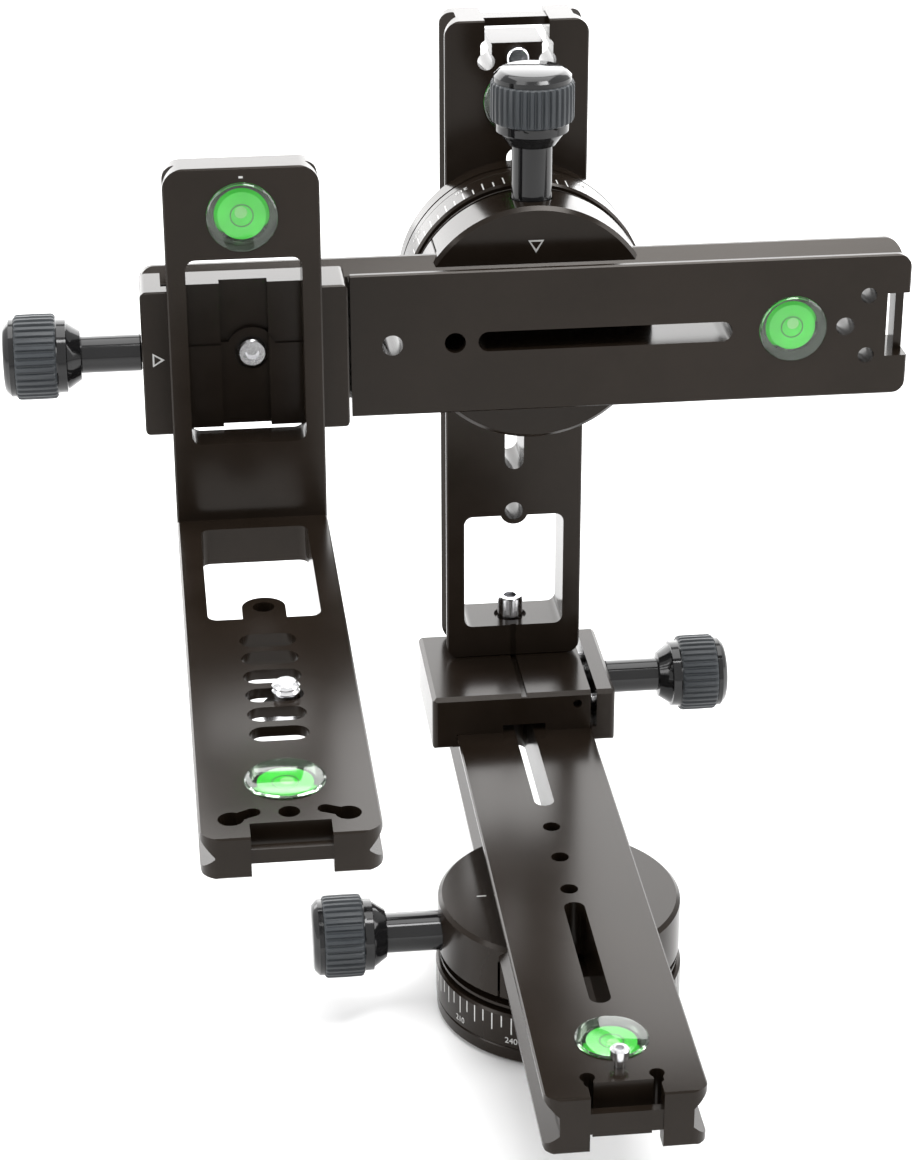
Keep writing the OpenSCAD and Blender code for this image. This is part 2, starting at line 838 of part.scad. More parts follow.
// Square clamp at the rail's end; its floor is deeper above a step that curves over the bolt
module end_clamp_body() {
    color(anodised) at_end_clamp() difference() {
        square_body(rail_w, end_reach);
        floor_relief(rail_w);
        translate([bolt_x, 0, floor_z - relief_t - 1.6]) drill(4.4, 5);
        translate([bolt_x, 0, -clamp_t - eps]) drill(screw_r + 0.02, 9);
        upper_floor(15.3, 0.8);
        upper_floor(relief_w / 2, 3.6);
    }
}

module end_clamp_bolt() {
    color(steel) at_end_clamp() translate([bolt_x, 0, floor_z - relief_t - 1.58])
        cap_screw(2.4, clamp_t - 4 - relief_t - 1.6 + 5, 3.6, 2.6, 1.8);
}

module end_jaw() {
    color(anodised) at_end_clamp() square_jaw(rail_w);
}

module end_jaw_pins() {
    color(steel) at_end_clamp() jaw_pins(clamp_w / 2);
}

module end_jaw_springs() {
    color(steel) at_end_clamp() jaw_springs(clamp_w / 2 - 5.3);
}

module end_knob_stud() {
    color(anodised) at_end_clamp() knob_stud(clamp_w / 2, square_shaft_r, end_reach);
}

module end_knob_grip() {
    color(grip_grey) at_end_clamp() knob_grip(clamp_w / 2);
}

// Cuts of the camera platform, drawn from above in the row's own X and Y
module platform_cuts() {
    window_back = 25;
    window_front = -27.1;
    translate([-end_clamp_x, 0, 0]) {
        difference() {
            translate([0, window_front]) bar2d(26.8, window_back - window_front, 2.5);
            translate([0, window_front + 6]) circle(5.2, $fn = fine);
            translate([-5.2, window_front - 1]) square([10.4, 7]);
        }
        translate([0, window_front + 6]) circle(2.6, $fn = fine);
        for (i = [0 : camera_slots - 1])
            translate([0, camera_first_y - i * camera_pitch]) rotate(90)
                slot2d(camera_slot_w, -camera_slot_l / 2, camera_slot_l / 2);
        translate([0, -platform_front + 10]) circle(2.3, $fn = fine);
    }
}

// Pocket under the camera screw's slots, for the screw's head
module platform_pocket() {
    length = camera_pitch * (camera_slots - 1) + camera_slot_w + 3.2;
    translate([-end_clamp_x, camera_first_y + camera_slot_w / 2 + 1.6 - length, bracket_bottom - eps])
        linear_extrude(bracket_t - web_t + eps) bar2d(pocket_w, length, 2);
}

module l_bracket() {
    color(anodised) difference() {
        union() {
            at_upright() dovetail_bar(upright_len, bracket_t, bracket_r);
            at_platform() dovetail_bar(platform_len, bracket_t, bracket_r);
        }
        at_platform() end_notch(platform_len, bracket_t, bracket_t * 0.33);
        at_platform() keyholes(platform_len, bracket_t, [12.2, 8.2], [7.6, 10.5], 2.8, 3.4);
        platform_pocket();
        at_platform() translate([0, platform_len - 23.8, 0]) translate([0, 0, bracket_t - 5])
            drill(level_r + bore_gap, 5 + eps);
        translate([0, 0, bracket_bottom - eps]) linear_extrude(bracket_t + 2 * eps) platform_cuts();
        at_upright() translate([0, 0, -eps]) linear_extrude(bracket_t + 2 * eps)
            translate([0, 151 - bracket_bottom]) bar2d(28.6, 48.5, 2.5);
        at_upright() translate([0, upright_len - 12.5, bracket_t - 5]) drill(level_r + bore_gap, 5 + eps);
    }
}

module bracket_levels() {
    color(level_green) {
        at_upright() translate([0, upright_len - 12.5, bracket_t]) level_vial(5);
        at_platform() translate([0, platform_len - 23.8, bracket_t]) level_vial(5);
    }
}

// Quarter inch camera screw, head in the platform's pocket, with a slim shank in the slot
module camera_screw() {
    web_z = platform_z - web_t - bore_gap;
    thread_z = platform_z + camera_tip - camera_thread;
    color(steel) translate([camera_x - end_clamp_x, camera_y, 0])
        difference() {
            union() {
                translate([0, 0, thread_z]) drill(3.175, camera_thread);
                translate([0, 0, web_z - eps]) drill(2.6, thread_z - web_z + 2 * eps);
                translate([0, 0, web_z - 3.2]) drill(5.6, 3.2);
            }
            translate([0, 0, web_z - 4.2]) cylinder(r = 2.8, h = 3, $fn = 6);
        }
}

base_plate();
base_housing();
base_screws();
pan_clamp_body();
pan_spacer_ring();
pan_thrust_washer();
pan_retainer();
pan_retainer_screws();
pan_jaw();
pan_jaw_pins();
pan_jaw_springs();
pan_knob_stud();
pan_knob_grip();
lower_rail();
lower_level();
lower_stop_screw();
post_clamp_body();
post();
post_screw();
post_level();
post_stop_screw();
post_jaw();
post_jaw_pins();
post_jaw_springs();
post_knob_stud();
post_knob_grip();
tilt_base_plate();
tilt_housing();
tilt_screws();
tilt_mount_plate();
tilt_bolt();
tilt_washer();
tilt_clamp_body();
tilt_spacer_ring();
tilt_thrust_washer();
tilt_retainer();
tilt_retainer_screws();
tilt_jaw();
tilt_jaw_pins();
tilt_jaw_springs();
tilt_knob_stud();
tilt_knob_grip();
upper_rail();
upper_level();
end_clamp_body();
end_clamp_bolt();
end_jaw();
end_jaw_pins();
end_jaw_springs();
end_knob_stud();
end_knob_grip();
l_bracket();
bracket_levels();
camera_screw();
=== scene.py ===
# %% [markdown]
# # A panoramic tripod head, dressed for a photograph
# The head is a chain of dovetail rails, clamps and two turning discs that lets
# a camera swing round its lens's own centre. The CAD model already has every
# solid in place, so this lesson adds what a drawing leaves out: black anodised
# skin, ridged knobs, green spirit levels, engraved marks, threads and light.

# %% Load the frame
import json
import math

import bmesh
import bpy
from mathutils import Matrix, Vector


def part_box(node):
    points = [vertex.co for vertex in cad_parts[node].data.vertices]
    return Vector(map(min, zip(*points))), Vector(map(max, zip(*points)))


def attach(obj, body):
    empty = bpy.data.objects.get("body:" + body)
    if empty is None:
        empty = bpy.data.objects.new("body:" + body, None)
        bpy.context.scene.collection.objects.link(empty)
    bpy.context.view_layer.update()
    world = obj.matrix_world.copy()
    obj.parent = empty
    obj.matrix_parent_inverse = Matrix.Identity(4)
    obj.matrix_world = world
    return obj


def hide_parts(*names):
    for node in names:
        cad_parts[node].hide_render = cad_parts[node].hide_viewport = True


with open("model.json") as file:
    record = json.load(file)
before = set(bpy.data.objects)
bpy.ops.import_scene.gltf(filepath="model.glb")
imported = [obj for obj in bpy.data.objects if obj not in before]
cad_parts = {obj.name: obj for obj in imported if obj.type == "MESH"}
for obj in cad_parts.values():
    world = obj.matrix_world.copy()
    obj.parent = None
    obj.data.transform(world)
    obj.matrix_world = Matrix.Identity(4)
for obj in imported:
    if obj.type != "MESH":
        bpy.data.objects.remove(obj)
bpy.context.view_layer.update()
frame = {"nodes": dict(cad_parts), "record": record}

MM = 0.001
DOUBLES = 1e-7
nodes = frame["nodes"]
print("CAD nodes:", len(nodes))

# %% [markdown]
# ## Where things are
# Each clamp has its own small frame in the CAD: the rail runs along Y, the
# knob points along minus X, and Z rises to the clamping face. Building a piece
# once in that frame and placing it with a matrix is easier than working out
# four sets of coordinates, and all four knobs come out alike.

# %% Clamp frames
def turn(degrees, axis):
    return Matrix.Rotation(math.radians(degrees), 4, axis)


def shift(x, y, z):
    return Matrix.Translation(Vector((x, y, z)) * MM)


AT_PAN = shift(0, 0, 33.4)
AT_POST = shift(0, 88.4, 40.4) @ turn(180, "Y")
AT_TILT = shift(0, 54, 170.8) @ turn(90, "X") @ turn(-90, "Z")
AT_END = shift(-75.3, 36.6, 170.8) @ turn(90, "X")
AT_TILT_BASE = shift(0, 87.4, 170.8) @ turn(90, "X") @ turn(-90, "Z")
SCREW_Z = -9.4
print("tilt face centre:", tuple(round(v, 4) for v in AT_TILT.translation))

# %% [markdown]
# ## Helpers for pieces
# A bmesh is a mesh that can be edited in memory. The helper below finishes
# one: it merges doubles, turns the faces outwards, shades it smooth with crisp
# edges, and ties the object to the moving body that carries it.

# %% Finish a piece
PIECE_CREASE = math.radians(32)


def finish_piece(bm, name, body, material, place=None, merge=DOUBLES):
    if place is not None:
        bmesh.ops.transform(bm, matrix=place, verts=bm.verts)
    if merge:
        bmesh.ops.remove_doubles(bm, verts=bm.verts, dist=merge)
    bmesh.ops.recalc_face_normals(bm, faces=bm.faces)
    for face in bm.faces:
        face.smooth = True
    for e in bm.edges:
        if len(e.link_faces) == 2 and e.calc_face_angle(0) > PIECE_CREASE:
            e.smooth = False
    mesh = bpy.data.meshes.new(name)
    bm.to_mesh(mesh)
    bm.free()
    mesh.materials.append(material)
    obj = bpy.data.objects.new(name, mesh)
    bpy.context.collection.objects.link(obj)
    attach(obj, body)
    return obj


def lathe(bm, profile, steps=64):
    """Spins a profile of (radius, height) points in mm round the Z axis."""
    ring = [bm.verts.new((r * MM, 0, z * MM)) for r, z in profile]
    edges = [bm.edges.new(pair) for pair in zip(ring, ring[1:])]
    bmesh.ops.spin(bm, geom=ring + edges, cent=(0, 0, 0), axis=(0, 0, 1),
                   angle=2 * math.pi, steps=steps, use_merge=True)
    bmesh.ops.remove_doubles(bm, verts=bm.verts, dist=DOUBLES)


def prism(bm, outline, low, high):
    """Extrudes a flat outline of (x, y) points in mm from low to high."""
    face = bm.faces.new([bm.verts.new((x * MM, y * MM, low * MM)) for x, y in outline])
    made = bmesh.ops.extrude_face_region(bm, geom=[face])["geom"]
    verts = [g for g in made if isinstance(g, bmesh.types.BMVert)]
    bmesh.ops.translate(bm, vec=(0, 0, (high - low) * MM), verts=verts)


print("helpers ready")

# %% [markdown]
# ## Black anodised aluminium
# Anodising grows a hard glassy layer over blasted aluminium and dyes it
# black. Up close it has a very fine grain, and from a step away it is a satin
# black that mirrors bright surroundings softly. A nearly black base colour, a
# clear satin gloss and a fine bump give that, and a slow noise in the
# roughness stands for handling marks. The grain is procedural, on Object
# coordinates, so that it stays put while the parts move.

# %% Node helpers for materials
def new_material(name):
    material = bpy.data.materials.new(name)
    material.use_nodes = True
    tree = material.node_tree
    return material, tree, tree.nodes["Principled BSDF"]


def noise_on(tree, scale, detail=2.0, roughness=0.5, stretch=None):
    coords = tree.nodes.new("ShaderNodeTexCoord")
    source = coords.outputs["Object"]
    if stretch is not None:
        mapping = tree.nodes.new("ShaderNodeMapping")
        mapping.inputs["Scale"].default_value = stretch
        tree.links.new(source, mapping.inputs["Vector"])
        source = mapping.outputs["Vector"]
    noise = tree.nodes.new("ShaderNodeTexNoise")
    noise.inputs["Scale"].default_value = scale
    noise.inputs["Detail"].default_value = detail
    noise.inputs["Roughness"].default_value = roughness
    tree.links.new(source, noise.inputs["Vector"])
    return noise


def ramp(tree, source, low, high, start=0.35, end=0.65):
    """A colour ramp from low to high over a noise."""
    node = tree.nodes.new("ShaderNodeValToRGB")
    node.color_ramp.elements[0].position = start
    node.color_ramp.elements[1].position = end
    node.color_ramp.elements[0].color = low
    node.color_ramp.elements[1].color = high
    tree.links.new(source, node.inputs["Fac"])
    return node.outputs["Color"]


def spread(tree, source, low, high):
    node = tree.nodes.new("ShaderNodeMapRange")
    node.inputs["To Min"].default_value = low
    node.inputs["To Max"].default_value = high
    tree.links.new(source, node.inputs["Value"])
    return node.outputs["Result"]


def bump(tree, shader, height, strength, distance):
    node = tree.nodes.new("ShaderNodeBump")
    node.inputs["Strength"].default_value = strength
    node.inputs["Distance"].default_value = distance
    tree.links.new(height, node.inputs["Height"])
    tree.links.new(node.outputs["Normal"], shader.inputs["Normal"])


# %% Satin black anodising
def anodised(name, colour, worn, rough_low, rough_high, grain, gloss, tint):
    material, tree, shader = new_material(name)
    shader.inputs["Metallic"].default_value = 0.0
    shader.inputs["Specular IOR Level"].default_value = gloss
    shader.inputs["Specular Tint"].default_value = tint
    smudge = noise_on(tree, 38.0, 4.0, 0.6)
    tree.links.new(ramp(tree, smudge.outputs["Fac"], colour, worn), shader.inputs["Base Color"])
    tree.links.new(spread(tree, smudge.outputs["Fac"], rough_low, rough_high), shader.inputs["Roughness"])
    fine = noise_on(tree, 5200.0, 1.0)
    bump(tree, shader, fine.outputs["Fac"], grain, 0.00002)
    return material


satin_black = anodised("satin_black_anodised", (0.01, 0.0068, 0.0045, 1), (0.014, 0.0098, 0.007, 1),
                       0.16, 0.23, grain=0.06, gloss=0.2, tint=(1, 0.95, 0.9, 1))
polished_black = anodised("polished_black_shaft", (0.006, 0.006, 0.0065, 1), (0.01, 0.01, 0.0105, 1),
                          0.07, 0.13, grain=0.03, gloss=0.4, tint=(1, 1, 1, 1))
print("anodised finishes:", satin_black.name, polished_black.name)

# %% [markdown]
# ## Steel, brass and nylon
# Screws are turned from bright stainless bar, so their finish runs in fine
# rings. Stretching a noise along one axis gives that without an image. The
# hidden bearing parts are brass and nylon, quieter versions of the same idea.

# %% Metals and plastic
def turned_metal(name, colour, shade, rough, lines):
    material, tree, shader = new_material(name)
    shader.inputs["Metallic"].default_value = 1.0
    streak = noise_on(tree, lines, 2.0, 0.5, (1, 1, 8))
    tree.links.new(ramp(tree, streak.outputs["Fac"], shade, colour), shader.inputs["Base Color"])
    gloss = spread(tree, streak.outputs["Fac"], rough - 0.06, rough + 0.08)
    tree.links.new(gloss, shader.inputs["Roughness"])
    bump(tree, shader, streak.outputs["Fac"], 0.15, 0.00003)
    return material


stainless = turned_metal("bright_stainless", (0.8, 0.8, 0.81, 1), (0.7, 0.7, 0.72, 1), 0.2, 2600.0)
spring_wire = turned_metal("oiled_spring_wire", (0.42, 0.41, 0.4, 1), (0.25, 0.25, 0.26, 1), 0.3, 700.0)
bearing_brass = turned_metal("turned_brass", (0.8, 0.6, 0.27, 1), (0.62, 0.44, 0.18, 1), 0.28, 800.0)


def moulded(name, colour, shade, rough, grain_scale, grain, gloss=0.4):
    material, tree, shader = new_material(name)
    shader.inputs["Specular IOR Level"].default_value = gloss
    cloud = noise_on(tree, 60.0, 4.0, 0.6)
    tree.links.new(ramp(tree, cloud.outputs["Fac"], shade, colour), shader.inputs["Base Color"])
    grit = noise_on(tree, grain_scale, 2.0)
    tree.links.new(spread(tree, grit.outputs["Fac"], rough - 0.08, rough + 0.1), shader.inputs["Roughness"])
    bump(tree, shader, grit.outputs["Fac"], grain, 0.00006)
    return material


nylon = moulded("natural_nylon", (0.82, 0.8, 0.74, 1), (0.76, 0.73, 0.66, 1), 0.5, 1500.0, 0.2)
grip_rubber = moulded("slate_grip", (0.031, 0.036, 0.041, 1), (0.022, 0.026, 0.03, 1), 0.5, 1900.0, 0.35, 0.5)
mark_white = moulded("engraved_fill", (0.6, 0.6, 0.59, 1), (0.48, 0.48, 0.47, 1), 0.55, 2500.0, 0.2)
print("metals and plastics ready")

# %% [markdown]
# ## Dress the CAD nodes
# Most solids keep their CAD mesh and only take a finish. The record's slot
# names say what each one is made of, so a small table is enough.

# %% Give each slot its finish
finish_of = {"anodised": satin_black, "gloss_black": polished_black, "grip": grip_rubber,
             "stainless": stainless, "spring_steel": spring_wire, "brass": bearing_brass,
             "nylon": nylon, "level": nylon}
slots = {row["node"]: row["material_slot"] for row in frame["record"]["subparts"]}
for name, obj in nodes.items():
    obj.data.materials.clear()
    obj.data.materials.append(finish_of[slots[name]])
print("dressed", len(nodes), "nodes")

# %% [markdown]
# ## Round walls that look round
# The CAD mesh draws a round wall with many flat faces. A small node group
# softens the shading across every edge that bends by less than about 30
# degrees and leaves real corners crisp. It works as a modifier, so the CAD
# mesh under it stays as it was.

# %% Soften the shading of round walls
CREASE = math.radians(31)


def crisp_smooth():
    group = bpy.data.node_groups.new("crisp_smooth", "GeometryNodeTree")
    group.interface.new_socket(name="Geometry", in_out="INPUT", socket_type="NodeSocketGeometry")
    group.interface.new_socket(name="Geometry", in_out="OUTPUT", socket_type="NodeSocketGeometry")
    start = group.nodes.new("NodeGroupInput")
    end = group.nodes.new("NodeGroupOutput")
    weld = group.nodes.new("GeometryNodeMergeByDistance")
    weld.inputs["Distance"].default_value = 0.001 * MM
    faces = group.nodes.new("GeometryNodeSetShadeSmooth")
    edges = group.nodes.new("GeometryNodeSetShadeSmooth")
    edges.domain = "EDGE"
    bend = group.nodes.new("GeometryNodeInputMeshEdgeAngle")
    gentle = group.nodes.new("FunctionNodeCompare")
    gentle.operation = "LESS_THAN"
    gentle.inputs["B"].default_value = CREASE
    group.links.new(start.outputs[0], weld.inputs["Geometry"])
    group.links.new(weld.outputs["Geometry"], faces.inputs["Geometry"])
    group.links.new(faces.outputs["Geometry"], edges.inputs["Geometry"])
    group.links.new(bend.outputs["Unsigned Angle"], gentle.inputs["A"])
    group.links.new(gentle.outputs["Result"], edges.inputs["Shade Smooth"])
    group.links.new(edges.outputs["Geometry"], end.inputs[0])
    return group


smooth_group = crisp_smooth()
for obj in nodes.values():
    obj.modifiers.new("crisp_smooth", "NODES").node_group = smooth_group
print("smoothed:", len(nodes))

# %% [markdown]
# ## Ridged grips
# Each knob's grip is a rubber sleeve with fine ridges along its length, so
# that wet or gloved fingers can turn it. It could be a cylinder with a bump
# texture, but the ridges break the outline, so they are cut as real geometry:
# a circle whose points alternate between two radii, extruded in stages that
# round off both ends.

# %% Model a grip
GRIP_R = 10.7
GRIP_BORE = 8.22
RIDGES = 36


def ridge_ring(bm, radius, depth, z):
    """One closed ring of ridge and groove points at height z."""
    ring = bmesh.ops.create_circle(bm, segments=RIDGES * 5, radius=radius * MM)["verts"]
    for i, v in enumerate(ring):
        v.co.z = z * MM
        step = (1.0, 1.0, 1.0, 1.0 - depth / radius, 1.0 - depth / radius)[i % 5]
        v.co.x *= step
        v.co.y *= step
    return [e for e in bm.edges if e.verts[0] in ring and e.verts[1] in ring]


def grip(name, place, seat, body, cad_node):
    low, high = seat + 21.25, seat + 31.55
    bm = bmesh.new()
    stages = [(GRIP_R - 0.75, 0.1, low), (GRIP_R - 0.2, 0.35, low + 0.35), (GRIP_R, 0.55, low + 0.9),
              (GRIP_R + 0.05, 0.55, (low + high) / 2), (GRIP_R, 0.55, high - 0.9),
              (GRIP_R - 0.2, 0.35, high - 0.35), (GRIP_R - 0.75, 0.1, high)]
    loops = [ridge_ring(bm, r, d, z) for r, d, z in stages]
    for lower, upper in zip(loops, loops[1:]):
        bmesh.ops.bridge_loops(bm, edges=lower + upper)
    for z, outer in ((low, loops[0]), (high, loops[-1])):
        inner = bmesh.ops.create_circle(bm, segments=RIDGES * 5, radius=GRIP_BORE * MM)["verts"]
        for v in inner:
            v.co.z = z * MM
        inner_edges = [e for e in bm.edges if e.verts[0] in inner and e.verts[1] in inner]
        bmesh.ops.bridge_loops(bm, edges=outer + inner_edges)
    along_knob = place @ shift(0, 0, SCREW_Z) @ turn(-90, "Y")
    piece = finish_piece(bm, name, body, grip_rubber, along_knob)
    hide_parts(cad_node)


ROUND_SEAT = 30.4
SQUARE_SEAT = 25.75
grip("pan_knob_ridges", AT_PAN, ROUND_SEAT, "pan_knob", "pan_knob_grip")
grip("post_knob_ridges", AT_POST, SQUARE_SEAT, "post_knob", "post_knob_grip")
grip("tilt_knob_ridges", AT_TILT, ROUND_SEAT, "tilt_knob", "tilt_knob_grip")
grip("end_knob_ridges", AT_END, SQUARE_SEAT, "end_knob", "end_knob_grip")

# %% [markdown]
# ## Spirit levels
# A bullseye level is a clear acrylic vial filled with fluorescent green spirit
# and one bubble. From outside one sees three things: a clear rim that shows
# the dark pocket behind it, the green fluid with a painted glow, and the pale
# bubble in its printed ring. Each is its own lathed shape, because glass, fluid
# and air need different shaders.

# %% Level materials
def clear_acrylic():
    material, tree, shader = new_material("clear_acrylic")
    shader.inputs["Base Color"].default_value = (0.74, 0.9, 0.74, 1)
    shader.inputs["Transmission Weight"].default_value = 0.98
    shader.inputs["IOR"].default_value = 1.49
    shader.inputs["Specular IOR Level"].default_value = 0.3
    cloud = noise_on(tree, 260.0, 2.0)
    tree.links.new(spread(tree, cloud.outputs["Fac"], 0.02, 0.08), shader.inputs["Roughness"])
    return material


def green_spirit():
    material, tree, shader = new_material("green_spirit_painted_glow")
    cloud = noise_on(tree, 140.0, 2.0)
    tree.links.new(ramp(tree, cloud.outputs["Fac"], (0.008, 0.46, 0.006, 1), (0.02, 0.66, 0.014, 1)),
                   shader.inputs["Base Color"])
    shader.inputs["Roughness"].default_value = 0.18
    # The emission is a painted glow: the spirit shines by itself at a fixed strength, whatever the lamps.
    shader.inputs["Emission Color"].default_value = (0.02, 0.85, 0.015, 1)
    shader.inputs["Emission Strength"].default_value = 0.3
    return material


acrylic = clear_acrylic()
spirit = green_spirit()
bubble_air = moulded("bubble", (0.5, 0.95, 0.42, 1), (0.38, 0.9, 0.3, 1), 0.12, 300.0, 0.0, 0.6)
ring_ink = moulded("ring_ink", (0.01, 0.09, 0.01, 1), (0.006, 0.05, 0.006, 1), 0.5, 900.0, 0.1)
print("level materials ready")

# %% Model a level
LEVEL_R = 8.7
SPIRIT_R = 6.7
SPIRIT_TOP = -2.4


def level(name, place, depth, body, bubble_at, cad_node):
    low = 0.05 - depth
    bm = bmesh.new()
    lathe(bm, [(SPIRIT_R + 0.05, low), (LEVEL_R - 0.05, low), (LEVEL_R - 0.05, 0.3), (LEVEL_R - 0.4, 0.65),
               (LEVEL_R - 1.1, 0.8), (0, 0.8), (0, SPIRIT_TOP + 0.2), (SPIRIT_R - 0.8, SPIRIT_TOP + 0.1),
               (SPIRIT_R + 0.05, SPIRIT_TOP - 0.5), (SPIRIT_R + 0.05, low)], 96)
    vial = finish_piece(bm, name + "_vial", body, acrylic, place)
    bm = bmesh.new()
    lathe(bm, [(0, SPIRIT_TOP), (SPIRIT_R - 0.9, SPIRIT_TOP), (SPIRIT_R, SPIRIT_TOP - 0.6),
               (SPIRIT_R, low + 0.1), (0, low + 0.1)], 72)
    finish_piece(bm, name + "_spirit", body, spirit, place)
    bm = bmesh.new()
    lathe(bm, [(0, 0.12), (0.9, 0.09), (1.5, 0.03), (1.7, -0.3), (0, -0.3)], 40)
    x, y = bubble_at
    finish_piece(bm, name + "_bubble", body, bubble_air, place @ shift(x, y, SPIRIT_TOP))
    bm = bmesh.new()
    lathe(bm, [(2.6, 0.04), (2.85, 0.04), (2.85, -0.2), (2.6, -0.2), (2.6, 0.04)], 60)
    finish_piece(bm, name + "_ring", body, ring_ink, place @ shift(0, 0, SPIRIT_TOP))
    if cad_node:
        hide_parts(cad_node)


def box_centre(node):
    low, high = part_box(node)
    return (low + high) / 2 / MM


facing = turn(90, "X")
centre = box_centre("lower_level")
level("lower_level", shift(centre.x, centre.y, 44.4), 6, "lower_arm", (0.3, -0.6), "lower_level")
centre = box_centre("post_level")
level("post_level", shift(centre.x, 93, centre.z) @ facing, 6, "post_carriage", (-0.4, 0.7), "post_level")
centre = box_centre("upper_level")
level("upper_level", shift(centre.x, 43, centre.z) @ facing, 6, "upper_arm", (0.2, 0.9), "upper_level")
level("upright_level", shift(-75.3, 31.1, 210.1) @ facing, 5, "camera_bracket", (-0.2, 0.8), "bracket_levels")
level("platform_level", shift(-75.3, -105.7, 130.3), 5, "camera_bracket", (0.4, 0.5), None)
print("levels done")

# %% [markdown]
# ## Engraved scales
# Both turning units carry a degree scale round the housing, and a line on the
# disc above reads against it. The real marks are cut and filled with white
# paint. Thin slivers lying a hair above the metal show the same crisp edges at
# this size and keep the housing itself simple.

# %% Scale round the housings
HOUSING_R = 32.2


def scale_round(name, place, body):
    bm = bmesh.new()
    for i in range(72):
        tall = 4.9 if i % 2 == 0 else 3.4
        around = turn(i * 5, "Z") @ shift(HOUSING_R - 0.05, 0, 0)
        made = bmesh.ops.create_cube(bm, size=1.0)["verts"]
        bmesh.ops.scale(bm, vec=(0.1 * MM, 0.34 * MM, tall * MM), verts=made)
        bmesh.ops.translate(bm, vec=(0, 0, (13.6 - tall / 2) * MM), verts=made)
        bmesh.ops.transform(bm, matrix=around, verts=made)
    return finish_piece(bm, name, body, mark_white, place, merge=0)


def numbers_round(name, place, body, step=30):
    """Degree numbers, made as text and wrapped on the housing as one mesh."""
    bm = bmesh.new()
    for degrees in range(0, 360, step):
        curve = bpy.data.curves.new("digits", "FONT")
        curve.body = str(degrees)
        curve.size = 2.4 * MM
        curve.align_x = "CENTER"
        curve.extrude = 0.05 * MM
        holder = bpy.data.objects.new("digits", curve)
        bpy.context.collection.objects.link(holder)
        bpy.context.view_layer.update()
        mesh = bpy.data.meshes.new_from_object(holder)
        start = len(bm.verts)
        bm.from_mesh(mesh)
        bm.verts.ensure_lookup_table()
        for v in bm.verts[start:]:
            angle = math.radians(degrees) + v.co.x / (HOUSING_R * MM)
            out = HOUSING_R * MM + v.co.z
            v.co = Vector((out * math.cos(angle), out * math.sin(angle), 6.0 * MM + v.co.y))
        bpy.data.objects.remove(holder)
        bpy.data.meshes.remove(mesh)
        bpy.data.curves.remove(curve)
    return finish_piece(bm, name, body, mark_white, place, merge=0)


scale_round("pan_scale_marks", Matrix.Identity(4), "base")
numbers_round("pan_scale_numbers", Matrix.Identity(4), "base")
scale_round("tilt_scale_marks", AT_TILT_BASE, "tilt_mount")
numbers_round("tilt_scale_numbers", AT_TILT_BASE, "tilt_mount")
print("scales done")

# %% [markdown]
# ## Index marks
# A short line or a small triangle on each clamp shows where a rail's own scale
# is read. They are flat shapes laid on the faces that the photograph shows.

# %% Index lines and triangles
MARK = 0.05


def flat_mark(name, outline, place, body):
    bm = bmesh.new()
    prism(bm, outline, -MARK, MARK)
    return finish_piece(bm, name, body, mark_white, place)


def hollow_triangle(name, size, line, place, body):
    """The outline of a triangle whose tip points along +X, drawn as one closed band."""
    bm = bmesh.new()
    loops = []
    for shrink in (0, line):
        tip, base, half = -2.2 * shrink, -size + shrink, size * 0.6 - 1.5 * shrink
        corners = [(tip, 0), (base, half), (base, -half)]
        loops.append([[bm.verts.new((x * MM, y * MM, z * MM)) for x, y in corners] for z in (-MARK, MARK)])
    for i in range(3):
        k = (i + 1) % 3
        for z in (0, 1):
            bm.faces.new((loops[0][z][i], loops[0][z][k], loops[1][z][k], loops[1][z][i]))
        for ring in loops:
            bm.faces.new((ring[0][i], ring[0][k], ring[1][k], ring[1][i]))
    return finish_piece(bm, name, body, mark_white, place)


def index_line(name, start, end, wide, place, body):
    outline = [(start, -wide / 2), (end, -wide / 2), (end, wide / 2), (start, wide / 2)]
    return flat_mark(name, outline, place, body)


index_line("pan_index_line", -21.6, -19.2, 0.5, AT_PAN, "pan_head")
index_line("upright_index_line", -0.5, 0.5, 0.5, shift(-75.3, 31.1, 220.2) @ turn(90, "X"), "camera_bracket")
hollow_triangle("tilt_index_triangle", 3.4, 0.42, AT_TILT @ shift(-19.4, 0, 0), "tilt_head")
hollow_triangle("end_index_triangle", 3.0, 0.4, AT_END @ shift(-20.2, 1.2, 0), "end_clamp_jaw")
print("index marks done")

# %% [markdown]
# ## Camera screw
# The end of the camera screw stands out of its slot, so its thread shows. A
# thread is a V-shaped ridge on a helix, but at this size a stack of rings one
# pitch apart reads the same and stays a clean closed shape. Below, the head
# has a six-sided socket: its loop has as many points as the round one, so that
# one bridge joins the two.

